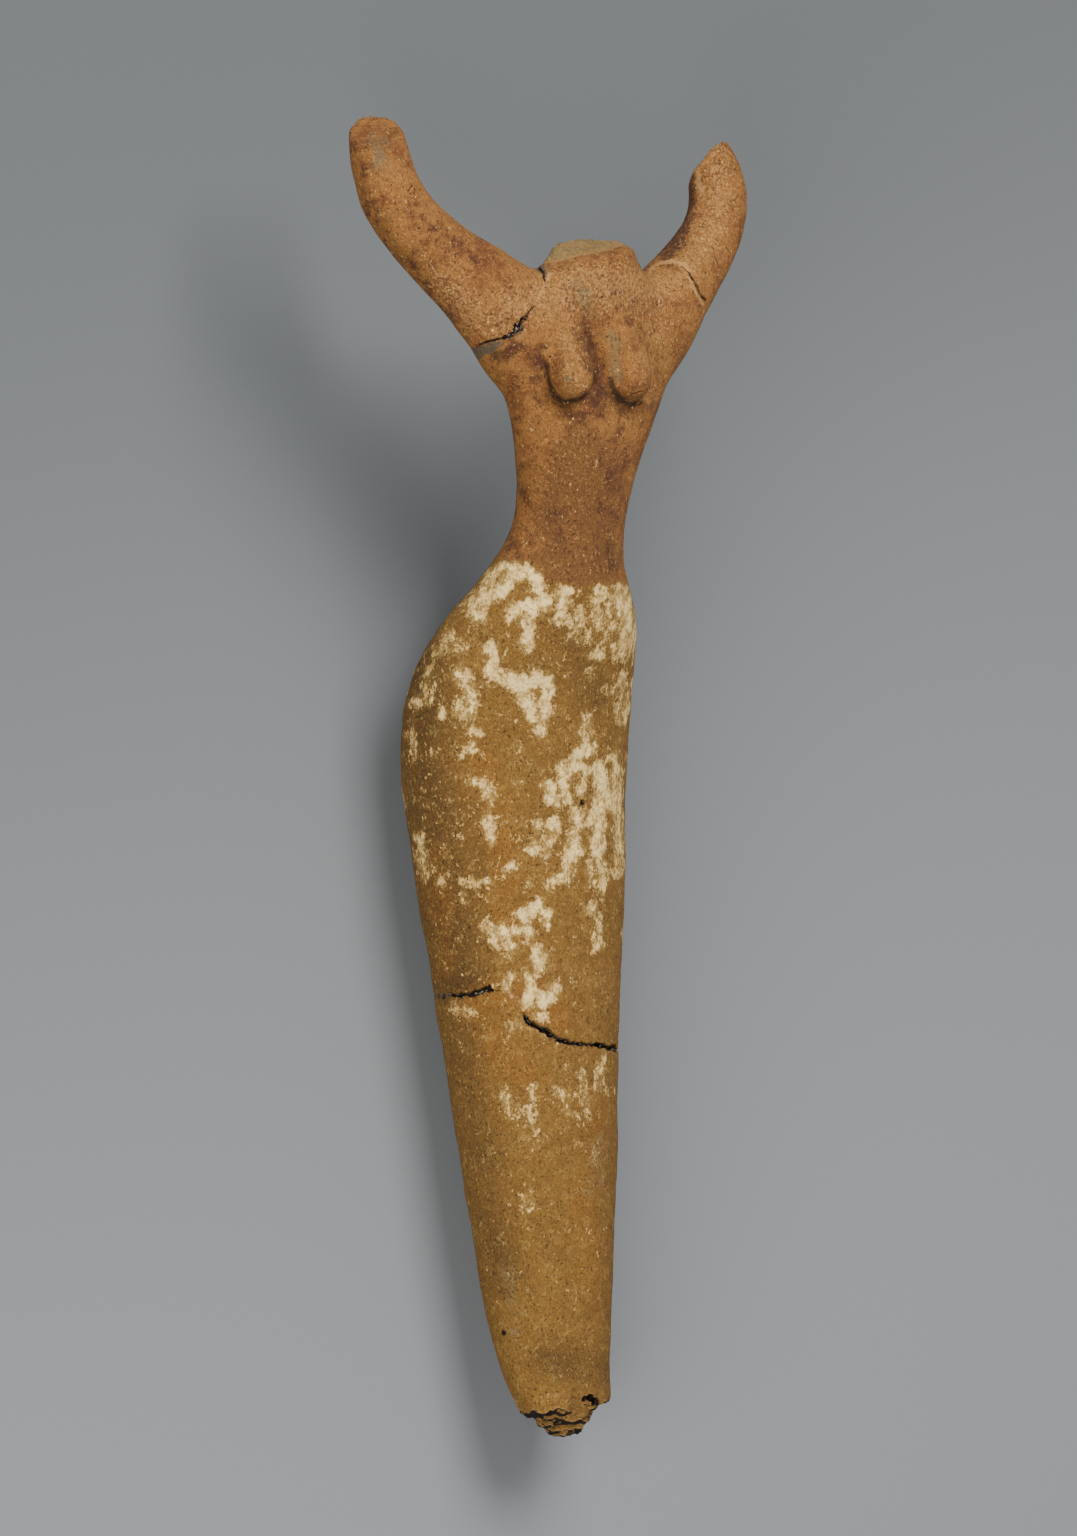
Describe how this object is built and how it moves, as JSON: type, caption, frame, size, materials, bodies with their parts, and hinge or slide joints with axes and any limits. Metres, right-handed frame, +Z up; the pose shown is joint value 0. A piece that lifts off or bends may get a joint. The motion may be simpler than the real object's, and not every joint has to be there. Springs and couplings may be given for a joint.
{
  "type": "female figure",
  "caption": "Broken fired-clay figure of a woman with raised arms and a long tapered skirt, flaked white paint, lying on its back.",
  "frame": {"origin": "centre of the box's underside, on the surface that the figure lies on", "axes": "+Y from the broken foot towards the head end, +Z up, out of the figure's front, and +X towards the figure's own left"},
  "size_m": [0.1216, 0.3398, 0.082],
  "materials": {
    "painted_terracotta": "matt fired river clay, orange brown, with flaked white paint on the skirt"
  },
  "bodies": {
    "root": {"female_figure": "painted_terracotta"}
  },
  "joints": []
}
